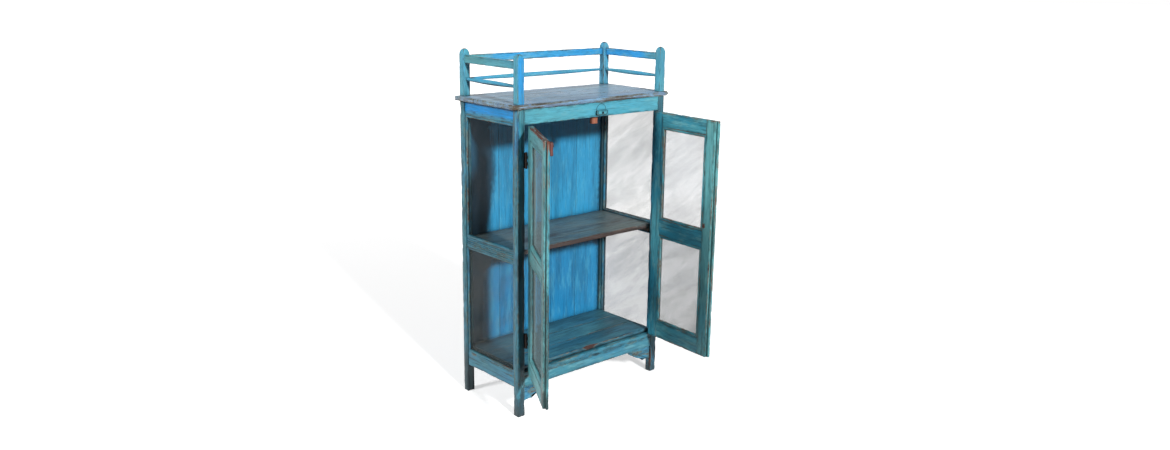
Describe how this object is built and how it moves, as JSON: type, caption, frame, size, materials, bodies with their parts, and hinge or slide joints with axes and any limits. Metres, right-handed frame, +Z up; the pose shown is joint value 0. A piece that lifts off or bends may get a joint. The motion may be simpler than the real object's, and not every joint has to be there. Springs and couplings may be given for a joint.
{
  "type": "china cabinet with glass doors",
  "caption": "Free-standing glazed cabinet with hinged glass doors, glass sides, an inner shelf, turn buttons and an open gallery rail round its top.",
  "frame": {"origin": "on the floor, at the middle of the carcass's footprint", "axes": "+X to the cabinet's right as seen from its front, +Y to its back, +Z up; both doors stand open at rest"},
  "size_m": [0.9601, 0.7589, 1.47],
  "materials": {
    "blue_paint": "distressed paint over hardwood",
    "back_paint": "bright blue paint",
    "door_paint": "distressed teal paint",
    "top_paint": "thin worn paint with streaks",
    "bare_wood": "red-brown hardwood, waxed",
    "glass": "clear",
    "iron": "dark, lightly rusted"
  },
  "bodies": {
    "cabinet": {"back_boards": "back_paint", "back_rails": "back_paint", "cleats": "bare_wood", "corbels": "blue_paint", "floor_boards": "blue_paint", "frame_hinge_screws": "iron", "frieze": "blue_paint", "frieze_button_screw": "iron", "front_bottom_rail": "blue_paint", "gallery_back_post_left": "blue_paint", "gallery_back_post_right": "blue_paint", "gallery_back_rail": "blue_paint", "gallery_front_post_left": "blue_paint", "gallery_front_post_right": "blue_paint", "gallery_rail_left": "blue_paint", "gallery_rail_right": "blue_paint", "gallery_spindles": "blue_paint", "hinge_frame_leaves": "iron", "hinge_pins": "iron", "post_back_left": "blue_paint", "post_back_right": "blue_paint", "post_front_left": "blue_paint", "post_front_right": "blue_paint", "shelf": "blue_paint", "side_beads": "blue_paint", "side_bottom_rail_left": "blue_paint", "side_bottom_rail_right": "blue_paint", "side_lower_pane_left": "glass", "side_lower_pane_right": "glass", "side_mid_rail_left": "blue_paint", "side_mid_rail_right": "blue_paint", "side_top_rail_left": "blue_paint", "side_top_rail_right": "blue_paint", "side_upper_pane_left": "glass", "side_upper_pane_right": "glass", "stop_block": "bare_wood", "top_boards": "top_paint"},
    "left_door": {"door_button_screw": "iron", "left_door_beads": "door_paint", "left_door_bottom_rail": "door_paint", "left_door_hinge_leaves": "iron", "left_door_hinge_screws": "iron", "left_door_hinge_stile": "door_paint", "left_door_lower_pane": "glass", "left_door_meeting_stile": "door_paint", "left_door_mid_rail": "door_paint", "left_door_top_rail": "door_paint", "left_door_upper_pane": "glass"},
    "right_door": {"right_door_beads": "door_paint", "right_door_bottom_rail": "door_paint", "right_door_hinge_leaves": "iron", "right_door_hinge_screws": "iron", "right_door_hinge_stile": "door_paint", "right_door_lower_pane": "glass", "right_door_meeting_stile": "door_paint", "right_door_mid_rail": "door_paint", "right_door_top_rail": "door_paint", "right_door_upper_pane": "glass"},
    "frieze_button": {"frieze_button": "blue_paint"},
    "door_button": {"door_button": "bare_wood"}
  },
  "joints": [
    {"name": "left_door_hinge", "type": "hinge", "parent": "cabinet", "child": "left_door", "pos_m": [-0.36525, -0.197, 0.65], "axis": [0, 0, -1], "range_deg": [-120, 40]},
    {"name": "right_door_hinge", "type": "hinge", "parent": "cabinet", "child": "right_door", "pos_m": [0.36525, -0.197, 0.65], "axis": [0, 0, 1], "range_deg": [-87, 73]},
    {"name": "frieze_button_turn", "type": "hinge", "parent": "cabinet", "child": "frieze_button", "pos_m": [0.033, -0.1948, 1.22], "axis": [0, 1, 0], "range_deg": [0, 90]},
    {"name": "door_button_turn", "type": "hinge", "parent": "left_door", "child": "door_button", "pos_m": [-0.51513, -0.51259, 1.182], "axis": [0.866, -0.5, 0], "range_deg": [0, 180]}
  ]
}
